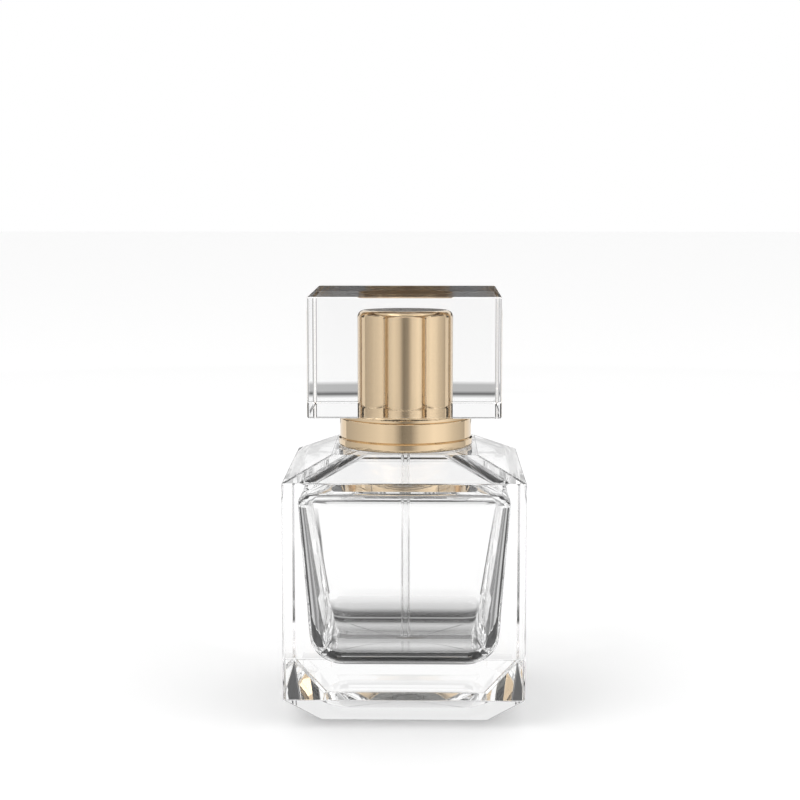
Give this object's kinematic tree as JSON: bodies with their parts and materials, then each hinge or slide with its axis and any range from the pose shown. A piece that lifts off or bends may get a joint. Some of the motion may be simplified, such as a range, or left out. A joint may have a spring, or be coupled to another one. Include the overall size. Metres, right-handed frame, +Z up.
{
  "type": "spray bottle with cap",
  "caption": "Square clear glass aftershave bottle with a crimped spray pump, gold collar and clear block cap that lifts off.",
  "frame": {"origin": "centre of the flat foot of the glass, on the surface it stands on", "axes": "+Z up along the bottle's axis, the spray leaves along -Y, +X to the right seen from the front"},
  "size_m": [0.042, 0.042, 0.0749],
  "materials": {
    "clear_glass": "polished",
    "clear_acrylic": "polished",
    "gold_aluminium": "polished, anodised gold",
    "plain_aluminium": "drawn",
    "white_moulding": "moulded",
    "clear_tube": "extruded",
    "seal_rubber": "matte",
    "stainless_steel": "drawn"
  },
  "bodies": {
    "bottle": {"glass_bottle": "clear_glass", "neck_gasket": "seal_rubber", "crimp_ferrule": "plain_aluminium", "collar_insert": "white_moulding", "collar_shell": "gold_aluminium", "pump_housing": "white_moulding", "barrel_cap": "white_moulding", "stem_gasket": "seal_rubber", "return_spring": "stainless_steel", "dip_tube": "clear_tube"},
    "plunger": {"stem": "white_moulding", "piston": "white_moulding", "valve_pin": "white_moulding"},
    "button": {"button_core": "white_moulding", "button_shell": "gold_aluminium", "spray_nozzle": "white_moulding"},
    "inlet_ball": {"inlet_ball": "stainless_steel"},
    "cap": {"cap_block": "clear_acrylic", "cap_sleeve": "gold_aluminium", "cap_liner": "white_moulding"}
  },
  "joints": [
    {"name": "cap_lift", "type": "slide", "parent": "bottle", "child": "cap", "axis": [0, 0, 1], "range_m": [0, 0.025]},
    {"name": "button_press", "type": "slide", "parent": "bottle", "child": "plunger", "axis": [0, 0, -1], "range_m": [0, 0.003], "stiffness_N_per_m": 1500, "springref_m": -0.003, "deforming": ["return_spring"]},
    {"name": "button_turn", "type": "hinge", "parent": "plunger", "child": "button", "pos_m": [0, 0, 0.066], "axis": [0, 0, 1], "continuous": true},
    {"name": "ball_lift", "type": "slide", "parent": "bottle", "child": "inlet_ball", "axis": [0, 0, 1], "range_m": [0, 0.0006]}
  ]
}
